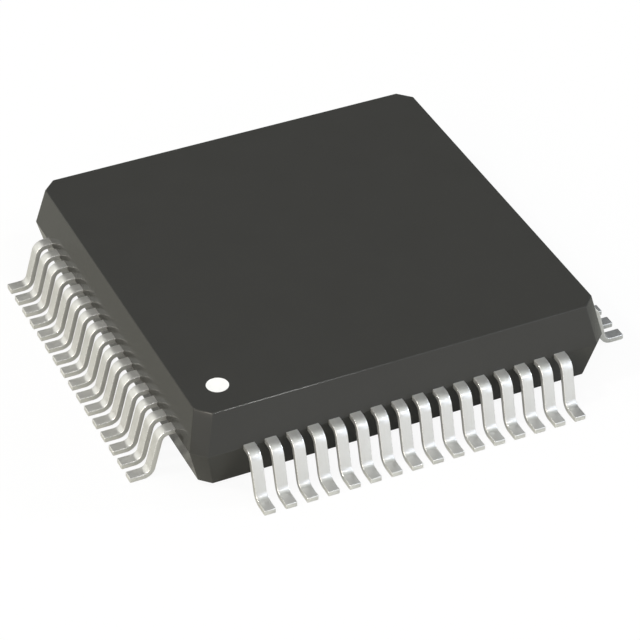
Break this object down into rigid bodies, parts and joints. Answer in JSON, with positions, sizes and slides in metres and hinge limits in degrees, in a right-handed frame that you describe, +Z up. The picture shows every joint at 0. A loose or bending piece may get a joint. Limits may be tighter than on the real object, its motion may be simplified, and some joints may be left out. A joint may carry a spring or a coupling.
{
  "type": "quad flat pack chip",
  "caption": "Square flat chip package: a moulded body with drafted sides and cut corners, and a row of gull-wing leads along each side.",
  "frame": {"origin": "centre of the seating plane, which the soles of all the leads share", "axes": "+Z up, away from the circuit board; +X and +Y square to the sides; the marked corner is at -X -Y, leads 1 to 16 face -Y, and the count goes counter-clockwise seen from above"},
  "size_m": [0.0122, 0.0122, 0.0021],
  "materials": {
    "moulding_compound": "dark grey filled epoxy, fine-grained top and semi-gloss drafted sides",
    "white_ink": "white marking ink",
    "tin_plated_leads": "satin tin plate on copper alloy",
    "bare_lead_frame": "bare copper alloy",
    "die_adhesive": "cured silver-filled adhesive",
    "silicon": "polished silicon",
    "gold_wire": "drawn gold wire"
  },
  "bodies": {
    "root": {"moulded_body": "moulding_compound", "pin_one_ink": "white_ink", "die_pad": "bare_lead_frame", "die_attach": "die_adhesive", "silicon_die": "silicon", "leads_01_to_04": "tin_plated_leads", "leads_05_to_08": "tin_plated_leads", "leads_09_to_12": "tin_plated_leads", "leads_13_to_16": "tin_plated_leads", "leads_17_to_20": "tin_plated_leads", "leads_21_to_24": "tin_plated_leads", "leads_25_to_28": "tin_plated_leads", "leads_29_to_32": "tin_plated_leads", "leads_33_to_36": "tin_plated_leads", "leads_37_to_40": "tin_plated_leads", "leads_41_to_44": "tin_plated_leads", "leads_45_to_48": "tin_plated_leads", "leads_49_to_52": "tin_plated_leads", "leads_53_to_56": "tin_plated_leads", "leads_57_to_60": "tin_plated_leads", "leads_61_to_64": "tin_plated_leads", "bond_wires_01_to_04": "gold_wire", "bond_wires_05_to_08": "gold_wire", "bond_wires_09_to_12": "gold_wire", "bond_wires_13_to_16": "gold_wire", "bond_wires_17_to_20": "gold_wire", "bond_wires_21_to_24": "gold_wire", "bond_wires_25_to_28": "gold_wire", "bond_wires_29_to_32": "gold_wire", "bond_wires_33_to_36": "gold_wire", "bond_wires_37_to_40": "gold_wire", "bond_wires_41_to_44": "gold_wire", "bond_wires_45_to_48": "gold_wire", "bond_wires_49_to_52": "gold_wire", "bond_wires_53_to_56": "gold_wire", "bond_wires_57_to_60": "gold_wire", "bond_wires_61_to_64": "gold_wire"}
  },
  "joints": []
}
